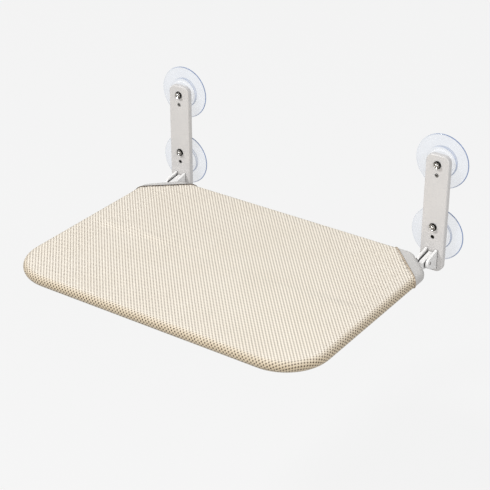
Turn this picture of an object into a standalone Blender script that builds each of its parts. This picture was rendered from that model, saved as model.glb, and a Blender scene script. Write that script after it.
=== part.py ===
"""Folding window perch for a pet.

A rounded deck of mesh fabric over a bent tube frame hinges on two slim brackets,
and each bracket holds to a window pane with two clear suction cups.

Frame: +X along the window, +Y towards the glass, +Z up.  The origin lies on the pane,
midway between the four cups.  All sizes are in metres.
"""

import math

import bmesh
import bpy

# ---------------------------------------------------------------- driving dimensions
GAP = 0.0003                    # clearance between touching pieces
OVERSHOOT = 0.002               # how far a cutter runs past the face it opens
FAR = 0.020                     # half length of a cutter that goes right through

# Brackets and their fixings
BRACKET_X = 0.248               # centre line of each bracket, left and right
CUP_Z = 0.0625                  # cup centres, above and below the origin
INNER_FIX_Z = 0.0445            # the second fixing of each cup, nearer the bar's middle
BAR_FRONT = -0.0175             # front face of the bar
BAR_BACK = -0.0075              # back face of the bar
BAR_TOP = 0.0785
BAR_BOTTOM = -0.1215
BAR_WIDTH = 0.0405
BAR_CORNER_R = 0.012
BAR_EDGE_R = 0.0018

# Suction cups, pressed to the glass at y = 0
CUP_R = 0.0455                  # outer lip
CUP_SEAL_R = 0.038              # inner edge of the flat sealing ring
CUP_HUB_R = 0.0255              # thick disc in the middle
CUP_BOSS_R = 0.021              # raised seat for the bar
CUP_HUB_H = 0.0046              # height of the thick disc above the glass
CUP_EDGE = 0.0009               # bevel round the disc and the seat
CUP_HOLLOW = 0.0018             # depth of the air space at the middle
CUP_SEGMENTS = 40
WASHER_SIDES = 24
HOLE_SIDES = 16                 # flats on small holes, screws and studs

# Fasteners
STUD_R = 0.003
STUD_FLANGE_R = 0.006
FLANGE_FRONT = 0.0040           # the flange's two faces, above the glass
FLANGE_BACK = 0.0028
STUD_END = -0.0228
WASHER_R = 0.0065
WASHER_T = 0.0008
NUT_FLATS = 0.0105              # across flats
NUT_T = 0.003
THREAD_BEVEL = 0.0004           # broken edge on nuts, studs and pins
SCREW_R = 0.00175
SCREW_HEAD_R = 0.0032
SCREW_HEAD_T = 0.0022
SCREW_SEAT_DEPTH = 0.0026
SCREW_END = 0.0034              # tip of the locating screw, above the glass
DRIVE_LENGTH = 0.0034           # cross in the screw's head
DRIVE_WIDTH = 0.0008
DRIVE_DEPTH = 0.0008

# Hinge, one on each bracket, on one common axis along X
PIVOT_Y = -0.0405
PIVOT_Z = -0.0965
PIN_R = 0.0025
CHEEK_IN = 0.0065               # inner face of each fork cheek, from the bracket's middle
CHEEK_OUT = 0.011
CHEEK_TIP_R = 0.0088
CHEEK_TOP = -0.0825             # cheek root at the bar
CHEEK_LOW = -0.1165
CHEEK_EDGE_R = 0.0006
FORK_PLATE_W = 0.030
FORK_PLATE_T = 0.003
FORK_PLATE_MARGIN = 0.003       # how far the plate reaches past the cheeks, up and down
TONGUE_LOW = -0.0036            # sides of the tongue along X, from the bracket's middle
TONGUE_HIGH = 0.0046
HEEL_TOP_RISE = 0.0088          # tongue's top above the pivot, at its heel
HEEL_DROP = 0.012               # tongue's bottom below the pivot, at its heel
NOSE_TOP_RISE = 0.0042          # top above the pivot, from the fitting forward
SHOULDER_DROP = 0.008           # bottom below the pivot, just outside the fitting
NOSE_DROP = 0.002               # bottom below the pivot, inside the fitting
NOSE_START = -0.0520            # where the straight nose begins, just outside the fitting
TONGUE_FRONT = -0.0755
SPACER_R = 0.0045

# Deck: a tube frame in a fabric sleeve
DECK_HALF_W = 0.2655            # tube centre line
DECK_REAR = -0.0505
DECK_FRONT = -0.4315
DECK_Z = -0.0920                # middle of the deck's thickness
DECK_CORNER_R = 0.066           # front corners, at the tube's centre line
TUBE_R = 0.008
TUBE_WALL = 0.0012
TUBE_END_GAP = 0.0008           # from a tube's end to the fabric's cut line
SLEEVE_R = 0.0094               # outside of the fabric round the tube
SLEEVE_FLAT = 0.0002            # half height of the flat stretch between the round edges
SLEEVE_REAR_R = 0.004           # rear corners at the tube's centre line, before the cut
FABRIC_T = 0.0010

# Corner fittings, on a 45 degree line across each rear corner
CHAMFER_SUM = 0.1878            # |x| + y on the fitting's outer face
CUT_SUM = 0.1550                # |x| + y on the fabric's cut edge
FITTING_HALF_T = 0.0092
FITTING_EDGE_R = 0.0078
FITTING_CORNER_R = 0.022
FITTING_TAIL = 0.020            # extra length of the block before it is trimmed to the cut line
SPIGOT_R = 0.0064
SPIGOT_REACH = 0.028            # into the tube, from the fitting's cut corner
SPIGOT_ROOT = 0.030             # inside the fitting, from its outer face
DIAGONAL_HALF = 0.080           # half size of the boxes that cut along the 45 degree lines
TONGUE_SCREW_Y = -0.0690
TONGUE_SCREW_TOP = 0.006        # tip above the middle of the deck's thickness
TONGUE_SEAT_DEPTH = 0.0008      # seat for the screw's head, in the fitting's underside
RELIEF_GAP = 0.0006             # between the fitting's relief and the cheek, deck folded up

# Closure strip under the rear edge of the sleeve
STRIP_HALF_W = 0.170
STRIP_DEPTH = 0.022
STRIP_T = 0.0015
STRIP_Y = -0.0860

SIDES = {"left": -1, "right": 1}
HALF_TURN = math.pi
QUARTER = math.pi / 2


# ---------------------------------------------------------------- scene and materials
def clear_scene():
    for obj in list(bpy.data.objects):
        bpy.data.objects.remove(obj, do_unlink=True)
    for coll in list(bpy.data.collections):
        bpy.data.collections.remove(coll)


def make_collection(name):
    coll = bpy.data.collections.new(name)
    bpy.context.scene.collection.children.link(coll)
    return coll


def make_material(name, color, roughness, metallic=0.0, transmission=0.0):
    mat = bpy.data.materials.new(name)
    mat.use_nodes = True
    shader = mat.node_tree.nodes["Principled BSDF"]
    shader.inputs["Base Color"].default_value = (*color, 1.0)
    shader.inputs["Roughness"].default_value = roughness
    shader.inputs["Metallic"].default_value = metallic
    shader.inputs["Transmission Weight"].default_value = transmission
    return mat


clear_scene()
PARTS = make_collection("window_perch")
CUTTERS = make_collection("cutters")

MATERIALS = {
    "bar": make_material("bracket_plastic", (0.63, 0.62, 0.60), 0.45),
    "fork": make_material("hinge_white", (0.78, 0.77, 0.76), 0.40),
    "fitting": make_material("fitting_grey", (0.56, 0.55, 0.54), 0.45),
    "cup": make_material("cup_clear", (0.80, 0.86, 0.93), 0.08, 0.0, 0.9),
    "steel": make_material("zinc_steel", (0.42, 0.41, 0.39), 0.30, 1.0),
    "dark": make_material("black_steel", (0.05, 0.05, 0.05), 0.35, 1.0),
    "nylon": make_material("spacer_nylon", (0.20, 0.20, 0.20), 0.50),
    "tube": make_material("tube_paint", (0.70, 0.70, 0.69), 0.35, 0.4),
    "fabric": make_material("mesh_fabric", (0.80, 0.74, 0.62), 0.90),
    "strip": make_material("closure_tape", (0.66, 0.60, 0.50), 0.85),
}


# ---------------------------------------------------------------- making objects
def finish_part(obj, name, material):
    """Name a part, give it its material and put it in the parts collection."""
    obj.name = name
    obj.data.name = name
    obj.data.materials.clear()
    obj.data.materials.append(MATERIALS[material])
    for coll in list(obj.users_collection):
        coll.objects.unlink(obj)
    PARTS.objects.link(obj)
    return obj


def finish_cutter(obj, name):
    """Keep a shape as a guide for Booleans only."""
    obj.name = name
    obj.hide_render = True
    obj.display_type = "WIRE"
    for coll in list(obj.users_collection):
        coll.objects.unlink(obj)
    CUTTERS.objects.link(obj)
    return obj


def boolean(obj, other, operation="DIFFERENCE"):
    mod = obj.modifiers.new(operation.lower() + "_" + other.name, "BOOLEAN")
    mod.operation = operation
    mod.solver = "EXACT"
    mod.object = other


def smooth_round(obj, angle=math.radians(35)):
    obj.data.shade_smooth()
    obj.data.set_sharp_from_angle(angle=angle)


def curve_to_mesh(curve_obj):
    """A curve object as a welded mesh object in the same place."""
    bpy.context.view_layer.update()
    depsgraph = bpy.context.evaluated_depsgraph_get()
    mesh = bpy.data.meshes.new_from_object(curve_obj.evaluated_get(depsgraph))
    bm = bmesh.new()
    bm.from_mesh(mesh)
    bmesh.ops.remove_doubles(bm, verts=bm.verts, dist=1e-6)
    bmesh.ops.recalc_face_normals(bm, faces=bm.faces)
    bm.to_mesh(mesh)
    bm.free()
    obj = bpy.data.objects.new(curve_obj.name + "_mesh", mesh)
    obj.matrix_world = curve_obj.matrix_world.copy()
    bpy.context.scene.collection.objects.link(obj)
    bpy.data.objects.remove(curve_obj, do_unlink=True)
    return obj


def outline_prism(points, half_depth, edge_r=0.0, edge_steps=3, grow=False):
    """A flat outline in XY, extruded both ways along Z with rounded edges.

    With grow the edge radius is added outside the outline, otherwise it stays inside it.
    """
    curve = bpy.data.curves.new("outline", "CURVE")
    curve.dimensions = "2D"
    curve.fill_mode = "BOTH"
    curve.extrude = half_depth - edge_r
    curve.bevel_depth = edge_r
    curve.bevel_resolution = edge_steps
    curve.offset = 0.0 if grow else -edge_r
    spline = curve.splines.new("POLY")
    spline.points.add(len(points) - 1)
    for point, (x, y) in zip(spline.points, points):
        point.co = (x, y, 0.0, 1.0)
    spline.use_cyclic_u = True
    obj = bpy.data.objects.new("outline", curve)
    bpy.context.scene.collection.objects.link(obj)
    return obj


def rod_along(points, radius, resolution=4):
    """A round rod along a list of points, with closed ends, as a mesh."""
    curve = bpy.data.curves.new("rod", "CURVE")
    curve.dimensions = "3D"
    curve.bevel_depth = radius
    curve.bevel_resolution = resolution
    curve.use_fill_caps = True
    spline = curve.splines.new("POLY")
    spline.points.add(len(points) - 1)
    for point, place in zip(spline.points, points):
        point.co = (*place, 1.0)
    obj = bpy.data.objects.new("rod", curve)
    bpy.context.scene.collection.objects.link(obj)
    return curve_to_mesh(obj)


def cylinder(radius, start, end, axis="Y", at=(0.0, 0.0, 0.0), sides=HOLE_SIDES):
    """A cylinder from start to end along a world axis, at a place on the other two."""
    turn = {"X": (0.0, QUARTER, 0.0), "Y": (QUARTER, 0.0, 0.0), "Z": (0.0, 0.0, 0.0)}[axis]
    place = list(at)
    place["XYZ".index(axis)] = (start + end) / 2
    bpy.ops.mesh.primitive_cylinder_add(
        vertices=sides, radius=radius, depth=abs(end - start), location=place, rotation=turn)
    obj = bpy.context.object
    smooth_round(obj)
    return obj


def box(low, high, turn_z=0.0):
    """A box between two corners, turned about its own middle."""
    size = [b - a for a, b in zip(low, high)]
    middle = [(a + b) / 2 for a, b in zip(low, high)]
    bpy.ops.mesh.primitive_cube_add(size=1.0, location=middle, rotation=(0.0, 0.0, turn_z))
    obj = bpy.context.object
    obj.scale = size
    bpy.ops.object.transform_apply(location=False, rotation=False, scale=True)
    return obj


def turned(profile, segments, closed=False):
    """A profile of (radius, height) points turned about the object's own Z axis."""
    mesh = bpy.data.meshes.new("profile")
    verts = [(r, 0.0, z) for r, z in profile]
    edges = [(i, i + 1) for i in range(len(verts) - 1)]
    if closed:
        edges.append((len(verts) - 1, 0))
    mesh.from_pydata(verts, edges, [])
    obj = bpy.data.objects.new("turned", mesh)
    bpy.context.scene.collection.objects.link(obj)
    screw = obj.modifiers.new("turn", "SCREW")
    screw.axis = "Z"
    screw.angle = 2 * math.pi
    screw.steps = segments
    screw.render_steps = segments
    screw.use_merge_vertices = True
    screw.merge_threshold = 0.00001
    screw.use_smooth_shade = True
    return obj


def arc(centre, radius, start, end, steps):
    """Points on an arc, both ends included, angles in radians."""
    return [(centre[0] + radius * math.cos(start + (end - start) * i / steps),
             centre[1] + radius * math.sin(start + (end - start) * i / steps))
            for i in range(steps + 1)]


def round_corners(corners, radii, steps=6):
    """Replace each corner of a convex polygon by an arc of the given radius."""
    points = []
    count = len(corners)
    for i, (corner, radius) in enumerate(zip(corners, radii)):
        if radius == 0.0:
            points.append(corner)
            continue
        before = corners[i - 1]
        after = corners[(i + 1) % count]
        to_before = (before[0] - corner[0], before[1] - corner[1])
        to_after = (after[0] - corner[0], after[1] - corner[1])
        angle_b = math.atan2(to_before[1], to_before[0])
        angle_a = math.atan2(to_after[1], to_after[0])
        turn = (angle_a - angle_b + HALF_TURN) % (2 * math.pi) - HALF_TURN
        middle = angle_b + turn / 2
        reach = radius / math.sin(abs(turn) / 2)
        centre = (corner[0] + reach * math.cos(middle), corner[1] + reach * math.sin(middle))
        sign = 1.0 if turn > 0 else -1.0
        start = angle_b - sign * QUARTER
        sweep = -sign * (HALF_TURN - abs(turn))
        points += arc(centre, radius, start, start + sweep, steps)
    return points


def rectangle(half_w, low, high):
    return [(-half_w, low), (half_w, low), (half_w, high), (-half_w, high)]


# ---------------------------------------------------------------- brackets
def fixings(end):
    """Heights of the stud and of the screw for the upper or the lower cup."""
    if end == "upper":
        return CUP_Z, INNER_FIX_Z
    return -INNER_FIX_Z, -CUP_Z


def stand_up(obj, x, y=0.0, z=0.0):
    """Turn a shape so that its own +Z points out of the glass and its +Y up."""
    obj.rotation_euler = (QUARTER, 0.0, 0.0)
    obj.location = (x, y, z)


def bracket_bar(side, x):
    half_t = (BAR_BACK - BAR_FRONT) / 2
    front = BAR_FRONT - OVERSHOOT
    back = BAR_BACK + OVERSHOOT
    outline = round_corners(rectangle(BAR_WIDTH / 2, BAR_BOTTOM, BAR_TOP), [BAR_CORNER_R] * 4)
    bar = outline_prism(outline, half_t, BAR_EDGE_R)
    stand_up(bar, x, (BAR_FRONT + BAR_BACK) / 2)
    bar = finish_part(curve_to_mesh(bar), side + "_bracket_bar", "bar")
    smooth_round(bar)
    for end in ("upper", "lower"):
        stud_z, screw_z = fixings(end)
        tag = "_" + side + "_" + end
        hole = cylinder(STUD_R + GAP, front, back, "Y", (x, 0, stud_z))
        boolean(bar, finish_cutter(hole, "stud_hole" + tag))
        hole = cylinder(SCREW_R + GAP, front, back, "Y", (x, 0, screw_z))
        boolean(bar, finish_cutter(hole, "screw_hole" + tag))
        seat = cylinder(SCREW_HEAD_R + GAP, front, BAR_FRONT + SCREW_SEAT_DEPTH, "Y",
                        (x, 0, screw_z))
        boolean(bar, finish_cutter(seat, "screw_seat" + tag))
    for cheek in (-1, 1):
        low, high = sorted((x + cheek * CHEEK_IN, x + cheek * CHEEK_OUT))
        slot = box((low - GAP, front, CHEEK_LOW - GAP), (high + GAP, back, CHEEK_TOP + GAP))
        boolean(bar, finish_cutter(slot, "cheek_slot_%s_%d" % (side, cheek)))
    half_w = FORK_PLATE_W / 2 + GAP
    recess = box((x - half_w, BAR_BACK - FORK_PLATE_T - GAP, CHEEK_LOW - FORK_PLATE_MARGIN - GAP),
                 (x + half_w, back, CHEEK_TOP + FORK_PLATE_MARGIN + GAP))
    boolean(bar, finish_cutter(recess, "plate_recess_" + side))
    return bar


def cheek_outline():
    """Side view of a fork cheek as (y, z): a tapered arm with a round tip at the pivot."""
    root = BAR_BACK - FORK_PLATE_T / 2
    tip = arc((PIVOT_Y, PIVOT_Z), CHEEK_TIP_R, math.radians(98), math.radians(258), 10)
    return [(root, CHEEK_LOW), (root, CHEEK_TOP), (BAR_FRONT, CHEEK_TOP)] + tip + [
        (BAR_FRONT, CHEEK_LOW)]


def side_prism(outline, low_x, high_x, edge_r=0.0):
    """A (y, z) outline as a solid between two places along X."""
    obj = outline_prism(outline, (high_x - low_x) / 2, edge_r, 2)
    obj.rotation_euler = (QUARTER, 0.0, QUARTER)
    obj.location = ((low_x + high_x) / 2, 0.0, 0.0)
    return curve_to_mesh(obj)


def hinge_fork(side, x):
    """Plate behind the bar with two cheeks that come out through it."""
    plate = box((x - FORK_PLATE_W / 2, BAR_BACK - FORK_PLATE_T, CHEEK_LOW - FORK_PLATE_MARGIN),
                (x + FORK_PLATE_W / 2, BAR_BACK, CHEEK_TOP + FORK_PLATE_MARGIN))
    fork = finish_part(plate, side + "_hinge_fork", "fork")
    for cheek in (-1, 1):
        ends = sorted((x + cheek * CHEEK_IN, x + cheek * CHEEK_OUT))
        shape = side_prism(cheek_outline(), *ends, edge_r=CHEEK_EDGE_R)
        boolean(fork, finish_cutter(shape, "cheek_%s_%d" % (side, cheek)), "UNION")
    hole = cylinder(PIN_R + GAP, x - FAR, x + FAR, "X", (0, PIVOT_Y, PIVOT_Z))
    boolean(fork, finish_cutter(hole, "fork_pin_hole_" + side))
    return fork


def hinge_pin(side, x):
    half = CHEEK_OUT - GAP
    bevel = THREAD_BEVEL
    pin = turned([(0.0, half), (PIN_R - bevel, half), (PIN_R, half - bevel),
                  (PIN_R, bevel - half), (PIN_R - bevel, -half), (0.0, -half)], HOLE_SIDES)
    pin.rotation_euler = (0.0, QUARTER, 0.0)
    pin.location = (x, PIVOT_Y, PIVOT_Z)
    return finish_part(pin, side + "_hinge_pin", "steel")


def hinge_spacer(side, x, place):
    """Plain bush between the tongue and one cheek."""
    inner = PIN_R + GAP
    sign = SIDES[side] if place == "outer" else -SIDES[side]
    low = (TONGUE_HIGH if sign > 0 else -TONGUE_LOW) + GAP
    high = CHEEK_IN - GAP
    half = (high - low) / 2
    profile = [(SPACER_R, half), (SPACER_R, -half), (inner, -half), (inner, half)]
    ring = turned(profile, HOLE_SIDES, closed=True)
    ring.rotation_euler = (0.0, QUARTER, 0.0)
    ring.location = (x + sign * (low + half), PIVOT_Y, PIVOT_Z)
    return finish_part(ring, "%s_hinge_spacer_%s" % (side, place), "nylon")


# ---------------------------------------------------------------- suction cups
def cup_profile():
    """Half section as (radius, height above the glass), from the middle out and back."""
    boss = -BAR_BACK - GAP
    seat = [(0.0, boss), (CUP_BOSS_R - CUP_EDGE, boss), (CUP_BOSS_R, boss - CUP_EDGE)]
    disc = [(CUP_BOSS_R + CUP_EDGE, CUP_HUB_H), (CUP_HUB_R - CUP_EDGE, CUP_HUB_H),
            (CUP_HUB_R, CUP_HUB_H - CUP_EDGE)]
    lip = [(0.039, 0.0022), (CUP_R, 0.0008), (CUP_R - GAP, 0.0), (CUP_SEAL_R, 0.0)]
    hollow = [(0.024, 0.0014), (0.0, CUP_HOLLOW)]
    return seat + disc + lip + hollow


def stud_profile(front):
    """Half section of a stud with its moulded-in flange, as (radius, height)."""
    return [(0.0, front), (STUD_R - THREAD_BEVEL, front), (STUD_R, front - THREAD_BEVEL),
            (STUD_R, FLANGE_FRONT), (STUD_FLANGE_R, FLANGE_FRONT), (STUD_FLANGE_R, FLANGE_BACK),
            (0.0, FLANGE_BACK)]


def stud_space_profile(front):
    """The space that the stud and its flange sit in, a gap larger all round."""
    shaft = STUD_R + GAP
    flange = STUD_FLANGE_R + GAP
    return [(0.0, front), (shaft, front), (shaft, FLANGE_FRONT + GAP), (flange, FLANGE_FRONT + GAP),
            (flange, FLANGE_BACK - GAP), (0.0, FLANGE_BACK - GAP)]


def suction_cup(side, end, x):
    centre_z = CUP_Z if end == "upper" else -CUP_Z
    stud_z, screw_z = fixings(end)
    tag = "_%s_%s" % (side, end)
    cup = turned(cup_profile(), CUP_SEGMENTS)
    stand_up(cup, x, 0.0, centre_z)
    finish_part(cup, "%s_%s_suction_cup" % (side, end), "cup")
    space = turned(stud_space_profile(-STUD_END), HOLE_SIDES)
    stand_up(space, x, 0.0, stud_z)
    boolean(cup, finish_cutter(space, "stud_space" + tag))
    hole = cylinder(SCREW_R + GAP, GAP - SCREW_END, BAR_BACK - OVERSHOOT, "Y", (x, 0, screw_z))
    boolean(cup, finish_cutter(hole, "cup_screw_hole" + tag))
    return cup


def cup_stud(side, end, x):
    stud = turned(stud_profile(-STUD_END), HOLE_SIDES)
    stand_up(stud, x, 0.0, fixings(end)[0])
    return finish_part(stud, "%s_%s_cup_stud" % (side, end), "steel")


def washer(side, end, x):
    back = -BAR_FRONT + GAP
    front = back + WASHER_T
    inner = STUD_R + GAP
    profile = [(WASHER_R, front), (WASHER_R, back), (inner, back), (inner, front)]
    ring = turned(profile, WASHER_SIDES, closed=True)
    stand_up(ring, x, 0.0, fixings(end)[0])
    return finish_part(ring, "%s_%s_washer" % (side, end), "dark")


def hex_nut(side, end, x):
    stud_z = fixings(end)[0]
    back = -BAR_FRONT + GAP + WASHER_T + GAP
    corner_r = NUT_FLATS / math.sqrt(3)
    bpy.ops.mesh.primitive_cylinder_add(
        vertices=6, radius=corner_r, depth=NUT_T, location=(x, -back - NUT_T / 2, stud_z),
        rotation=(QUARTER, 0.0, 0.0))
    nut = finish_part(bpy.context.object, "%s_%s_nut" % (side, end), "steel")
    bevel = nut.modifiers.new("edges", "BEVEL")
    bevel.width = THREAD_BEVEL
    bevel.segments = 1
    hole = cylinder(STUD_R + GAP, BAR_FRONT - FAR, BAR_FRONT + OVERSHOOT, "Y", (x, 0, stud_z))
    boolean(nut, finish_cutter(hole, "nut_hole_%s_%s" % (side, end)))
    return nut


def locating_screw(side, end, x):
    """Pan head screw in a seat in the bar, which keeps the cup from turning."""
    head_back = -BAR_FRONT - SCREW_SEAT_DEPTH + GAP
    head_front = head_back + SCREW_HEAD_T
    head = [(0.0, head_front), (SCREW_HEAD_R * 0.55, head_front),
            (SCREW_HEAD_R * 0.88, head_front - 0.0005), (SCREW_HEAD_R, head_front - 0.0012),
            (SCREW_HEAD_R, head_back)]
    shank = [(SCREW_R, head_back), (SCREW_R, SCREW_END), (0.0, SCREW_END)]
    screw = turned(head + shank, HOLE_SIDES)
    screw_z = fixings(end)[1]
    stand_up(screw, x, 0.0, screw_z)
    finish_part(screw, "%s_%s_locating_screw" % (side, end), "dark")
    for turn in (0.0, QUARTER):
        slot = box((x - DRIVE_LENGTH / 2, -head_front - OVERSHOOT, screw_z - DRIVE_WIDTH / 2),
                   (x + DRIVE_LENGTH / 2, -head_front + DRIVE_DEPTH, screw_z + DRIVE_WIDTH / 2))
        slot.rotation_euler = (0.0, turn, 0.0)
        boolean(screw, finish_cutter(slot, "screw_slot_%s_%s_%d" % (side, end, turn > 0)))
    return screw


# ---------------------------------------------------------------- deck
def tongue_outline():
    """Side view of the hinge tongue as (y, z), with a heel that swings clear of the bar."""
    reach = BAR_FRONT - GAP - PIVOT_Y
    top_angle = math.asin(HEEL_TOP_RISE / reach)
    heel = arc((PIVOT_Y, PIVOT_Z), reach, 0.0, top_angle, 6)
    return [(PIVOT_Y + reach, PIVOT_Z - HEEL_DROP)] + heel + [
        (NOSE_START, PIVOT_Z + NOSE_TOP_RISE), (TONGUE_FRONT, PIVOT_Z + NOSE_TOP_RISE),
        (TONGUE_FRONT, PIVOT_Z - NOSE_DROP), (NOSE_START, PIVOT_Z - NOSE_DROP),
        (NOSE_START, PIVOT_Z - SHOULDER_DROP)]


def hinge_tongue(side, x):
    shape = side_prism(tongue_outline(), x + TONGUE_LOW, x + TONGUE_HIGH)
    tongue = finish_part(shape, side + "_hinge_tongue", "fork")
    hole = cylinder(PIN_R + GAP, x - FAR, x + FAR, "X", (0, PIVOT_Y, PIVOT_Z))
    boolean(tongue, finish_cutter(hole, "tongue_pin_hole_" + side))
    hole = cylinder(SCREW_R + GAP, DECK_Z - FAR, DECK_Z + FAR, "Z", (x, TONGUE_SCREW_Y, 0))
    boolean(tongue, finish_cutter(hole, "tongue_screw_hole_" + side))
    return tongue


def diagonal_box(sign, line_sum, inward):
    """A box with one face on the line |x| + y = line_sum at a rear corner."""
    half = DIAGONAL_HALF
    cutter = box((-half, -half, -FAR), (half, half, FAR), math.pi / 4)
    middle_x = (line_sum - DECK_REAR + DECK_HALF_W) / 2
    push = half / math.sqrt(2)
    if inward:
        push = -push
    cutter.location = (sign * (middle_x + push), line_sum - middle_x + push, DECK_Z)
    return cutter


def cheek_relief(side, x):
    """The room that the inner cheek takes beside the fitting when the deck is folded up.

    The cheek's top edge, from the bar to its round tip, is turned a quarter about the pivot.
    """
    root_y = BAR_FRONT - PIVOT_Y
    root_z = CHEEK_TOP - PIVOT_Z
    low = (PIVOT_Y - CHEEK_TIP_R - RELIEF_GAP, PIVOT_Z - RELIEF_GAP)
    high = (PIVOT_Y - root_z - RELIEF_GAP, PIVOT_Z + root_y)
    outline = [low, (PIVOT_Y + RELIEF_GAP, low[1]), (PIVOT_Y + RELIEF_GAP, high[1]), high]
    inner_cheek = sorted((x - SIDES[side] * (CHEEK_IN - RELIEF_GAP),
                          x - SIDES[side] * (CHEEK_OUT + RELIEF_GAP)))
    return side_prism(outline, *inner_cheek)


def corner_fitting(side, x):
    """Moulded corner that joins the side tube to the rear tube and takes the tongue."""
    sign = SIDES[side]
    outer_x = DECK_HALF_W + SLEEVE_R
    outer_y = DECK_REAR + SLEEVE_R
    cut = CUT_SUM + GAP
    corners = [(cut - outer_y, outer_y), (CHAMFER_SUM - outer_y, outer_y),
               (outer_x, CHAMFER_SUM - outer_x), (outer_x, cut - outer_x)]
    outline = round_corners(corners, [0.0, FITTING_CORNER_R, FITTING_CORNER_R, 0.0], 5)
    # the block is made longer past the cut line, then trimmed, so that its inner face is flat
    tails = [(corners[3][0], corners[3][1] - FITTING_TAIL), (corners[0][0] - FITTING_TAIL, corners[0][1])]
    outline = outline[1:-1] + tails
    if sign < 0:
        outline = [(-px, py) for px, py in reversed(outline)]
    block = outline_prism(outline, FITTING_HALF_T, FITTING_EDGE_R, 4)
    block.location = (0.0, 0.0, DECK_Z)
    fitting = finish_part(curve_to_mesh(block), side + "_corner_fitting", "fitting")
    smooth_round(fitting)
    trim = diagonal_box(sign, cut, inward=True)
    boolean(fitting, finish_cutter(trim, "fitting_trim_" + side))
    rear = cylinder(SPIGOT_R, sign * (corners[0][0] - SPIGOT_REACH),
                    sign * (CHAMFER_SUM - DECK_REAR - SPIGOT_ROOT), "X", (0, DECK_REAR, DECK_Z))
    boolean(fitting, finish_cutter(rear, "rear_spigot_" + side), "UNION")
    flank = cylinder(SPIGOT_R, corners[3][1] - SPIGOT_REACH,
                     CHAMFER_SUM - DECK_HALF_W - SPIGOT_ROOT, "Y", (sign * DECK_HALF_W, 0, DECK_Z))
    boolean(fitting, finish_cutter(flank, "side_spigot_" + side), "UNION")
    pocket = box((x + TONGUE_LOW - GAP, TONGUE_FRONT - GAP, PIVOT_Z - NOSE_DROP - GAP),
                 (x + TONGUE_HIGH + GAP, BAR_FRONT, PIVOT_Z + NOSE_TOP_RISE + GAP))
    boolean(fitting, finish_cutter(pocket, "tongue_pocket_" + side))
    hole = cylinder(SCREW_R + GAP, DECK_Z - FAR, DECK_Z + TONGUE_SCREW_TOP + GAP, "Z",
                    (x, TONGUE_SCREW_Y, 0))
    boolean(fitting, finish_cutter(hole, "fitting_screw_hole_" + side))
    seat = cylinder(SCREW_HEAD_R + GAP, DECK_Z - FAR, DECK_Z - FITTING_HALF_T + TONGUE_SEAT_DEPTH, "Z",
                    (x, TONGUE_SCREW_Y, 0))
    boolean(fitting, finish_cutter(seat, "fitting_screw_seat_" + side))
    boolean(fitting, finish_cutter(cheek_relief(side, x), "cheek_relief_" + side))
    return fitting


def tongue_screw(side, x):
    """Screw from below, through the fitting and the tongue."""
    tip = DECK_Z + TONGUE_SCREW_TOP
    head = DECK_Z - FITTING_HALF_T + TONGUE_SEAT_DEPTH - GAP
    low = head - SCREW_HEAD_T
    screw = turned([(0.0, tip), (SCREW_R - THREAD_BEVEL, tip), (SCREW_R, tip - THREAD_BEVEL),
                    (SCREW_R, head), (SCREW_HEAD_R, head), (SCREW_HEAD_R, low + 2 * THREAD_BEVEL),
                    (SCREW_HEAD_R * 0.7, low), (0.0, low)], HOLE_SIDES)
    screw.location = (x, TONGUE_SCREW_Y, 0.0)
    return finish_part(screw, side + "_tongue_screw", "dark")


def front_path(start_y):
    """Centre line of the bent tube, from the right side round the front to the left."""
    inner_x = DECK_HALF_W - DECK_CORNER_R
    inner_y = DECK_FRONT + DECK_CORNER_R
    right = arc((inner_x, inner_y), DECK_CORNER_R, 0.0, -QUARTER, 8)
    left = arc((-inner_x, inner_y), DECK_CORNER_R, -QUARTER, -HALF_TURN, 8)
    points = [(DECK_HALF_W, start_y)] + right + left + [(-DECK_HALF_W, start_y)]
    return [(px, py, DECK_Z) for px, py in points]


def hollow_tube(points, name):
    """A round tube with open ends along a path."""
    tube = finish_part(rod_along(points, TUBE_R), name, "tube")
    smooth_round(tube)

    def beyond(end, inner):
        length = math.dist(end, inner)
        return tuple(e + (e - i) / length * OVERSHOOT for e, i in zip(end, inner))

    bore_path = [beyond(points[0], points[1])] + points + [beyond(points[-1], points[-2])]
    bore = rod_along(bore_path, TUBE_R - TUBE_WALL)
    boolean(tube, finish_cutter(bore, name + "_bore"))
    return tube


def frame_tube():
    end_y = CUT_SUM - (DECK_HALF_W + SLEEVE_R) - TUBE_END_GAP
    return hollow_tube(front_path(end_y), "frame_tube")


def rear_tube():
    end_x = CUT_SUM - (DECK_REAR + SLEEVE_R) - TUBE_END_GAP
    path = [(-end_x, DECK_REAR, DECK_Z), (end_x, DECK_REAR, DECK_Z)]
    return hollow_tube(path, "rear_tube")


def deck_outline():
    """The tube's centre line as a closed outline with nearly square rear corners."""
    corners = [(-DECK_HALF_W, DECK_FRONT), (DECK_HALF_W, DECK_FRONT),
               (DECK_HALF_W, DECK_REAR), (-DECK_HALF_W, DECK_REAR)]
    radii = [DECK_CORNER_R, DECK_CORNER_R, SLEEVE_REAR_R, SLEEVE_REAR_R]
    return round_corners(corners, radii, 10)


def fabric_cover():
    """Two-layer sleeve round the whole frame, cut off diagonally at the rear corners."""
    outside = outline_prism(deck_outline(), SLEEVE_R + SLEEVE_FLAT, SLEEVE_R, 3, grow=True)
    outside.location = (0.0, 0.0, DECK_Z)
    cover = finish_part(curve_to_mesh(outside), "fabric_cover", "fabric")
    smooth_round(cover)
    inner_r = SLEEVE_R - FABRIC_T
    inside = outline_prism(deck_outline(), inner_r + SLEEVE_FLAT, inner_r, 3, grow=True)
    inside.location = (0.0, 0.0, DECK_Z)
    boolean(cover, finish_cutter(curve_to_mesh(inside), "sleeve_inside"))
    for side, sign in SIDES.items():
        corner = diagonal_box(sign, CUT_SUM, inward=False)
        boolean(cover, finish_cutter(corner, "corner_cut_" + side))
    return cover


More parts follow.
